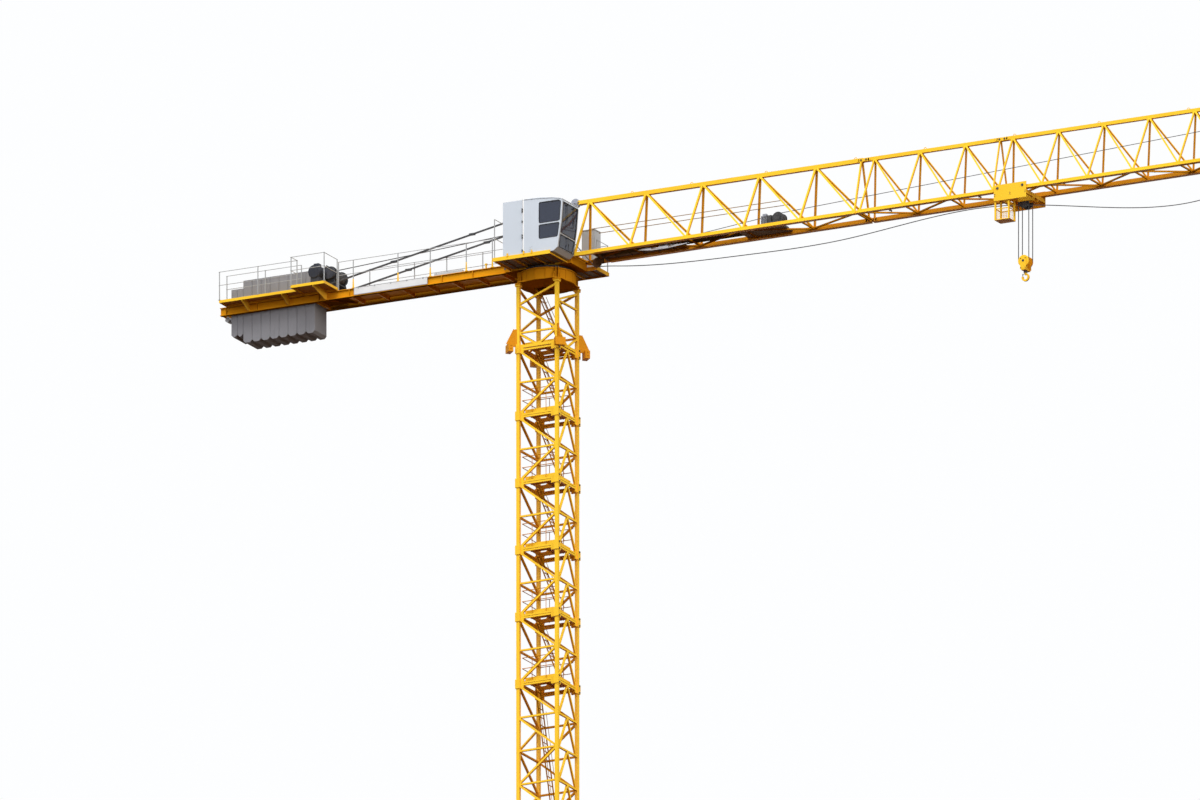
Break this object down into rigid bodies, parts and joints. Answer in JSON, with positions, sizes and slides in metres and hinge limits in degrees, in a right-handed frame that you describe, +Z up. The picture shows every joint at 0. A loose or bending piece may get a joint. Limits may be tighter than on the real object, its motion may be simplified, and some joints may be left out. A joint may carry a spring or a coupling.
{
  "type": "tower crane, half-size model",
  "caption": "Lattice tower crane with a level triangular jib, cab, slewing ring, trolley and hook, and a counter-jib with winch and concrete slabs; half-size model",
  "frame": {"origin": "centre of the underside of the foundation frame, on the slewing axis", "axes": "+X along the jib from the mast to the tip, +Z up, the cab on the -Y side"},
  "size_m": [21.335, 1.775, 12.8003],
  "materials": {
    "frame_yellow": "semi-gloss yellow paint",
    "cab_grey": "pale grey paint",
    "cab_glass": "tinted glass",
    "ballast_concrete": "bare cast concrete",
    "dark_steel": "greased dark steel",
    "rail_grey": "galvanised",
    "tie_steel": "dull galvanised bar",
    "winch_slate": "slate grey paint",
    "board_white": "plain white board",
    "rope_steel": "oiled wire rope"
  },
  "bodies": {
    "mast": {"foundation_frame": "frame_yellow", "base_section_legs": "frame_yellow", "standard_section_legs": "frame_yellow", "head_section_legs": "frame_yellow", "near_side_bracing": "frame_yellow", "far_side_bracing": "frame_yellow", "left_side_bracing": "frame_yellow", "right_side_bracing": "frame_yellow", "climbing_brackets": "frame_yellow", "mast_platforms": "frame_yellow", "mast_ladders": "frame_yellow", "ring_support": "frame_yellow", "slewing_ring": "dark_steel"},
    "upper_works": {"ballast_slabs": "ballast_concrete", "cab_shell": "cab_grey", "cab_windows": "cab_glass", "counter_jib_beams": "frame_yellow", "counter_jib_floor": "frame_yellow", "head_link": "rail_grey", "hoist_motor": "winch_slate", "hoist_rope": "rope_steel", "jib_chords": "frame_yellow", "jib_far_bracing": "frame_yellow", "jib_floor_bracing": "frame_yellow", "jib_handrails": "frame_yellow", "jib_joint_lugs": "frame_yellow", "jib_near_bracing": "frame_yellow", "jib_tip": "frame_yellow", "jib_walkway": "frame_yellow", "root_sheave": "dark_steel", "side_board": "board_white", "side_platforms": "frame_yellow", "side_screen": "cab_grey", "switch_cabinet": "cab_grey", "tail_platform": "frame_yellow", "tie_bars": "tie_steel", "tower_head": "frame_yellow", "trolley_ropes": "rope_steel", "trolley_winch": "winch_slate", "turntable": "frame_yellow", "upper_railings": "rail_grey", "winch_frame": "winch_slate"},
    "trolley": {"trolley_frame": "frame_yellow", "trolley_wheels": "dark_steel", "trolley_sheaves": "dark_steel", "service_basket": "frame_yellow", "hook_falls": "rope_steel", "hook_block": "frame_yellow"},
    "drum": {"hoist_drum": "winch_slate"},
    "head_wheel": {"head_sheave": "dark_steel"}
  },
  "joints": [
    {"name": "slewing", "type": "hinge", "parent": "mast", "child": "upper_works", "pos_m": [0, 0, 11.5253], "axis": [0, 0, 1], "continuous": true},
    {"name": "trolley_travel", "type": "slide", "parent": "upper_works", "child": "trolley", "axis": [1, 0, 0], "range_m": [-8, 4.6]},
    {"name": "hoist_drum_spin", "type": "hinge", "parent": "upper_works", "child": "drum", "pos_m": [-4.275, 0, 12.0203], "axis": [0, 1, 0], "continuous": true},
    {"name": "head_sheave_spin", "type": "hinge", "parent": "upper_works", "child": "head_wheel", "pos_m": [0.15, 0, 12.2703], "axis": [0, 1, 0], "continuous": true}
  ]
}
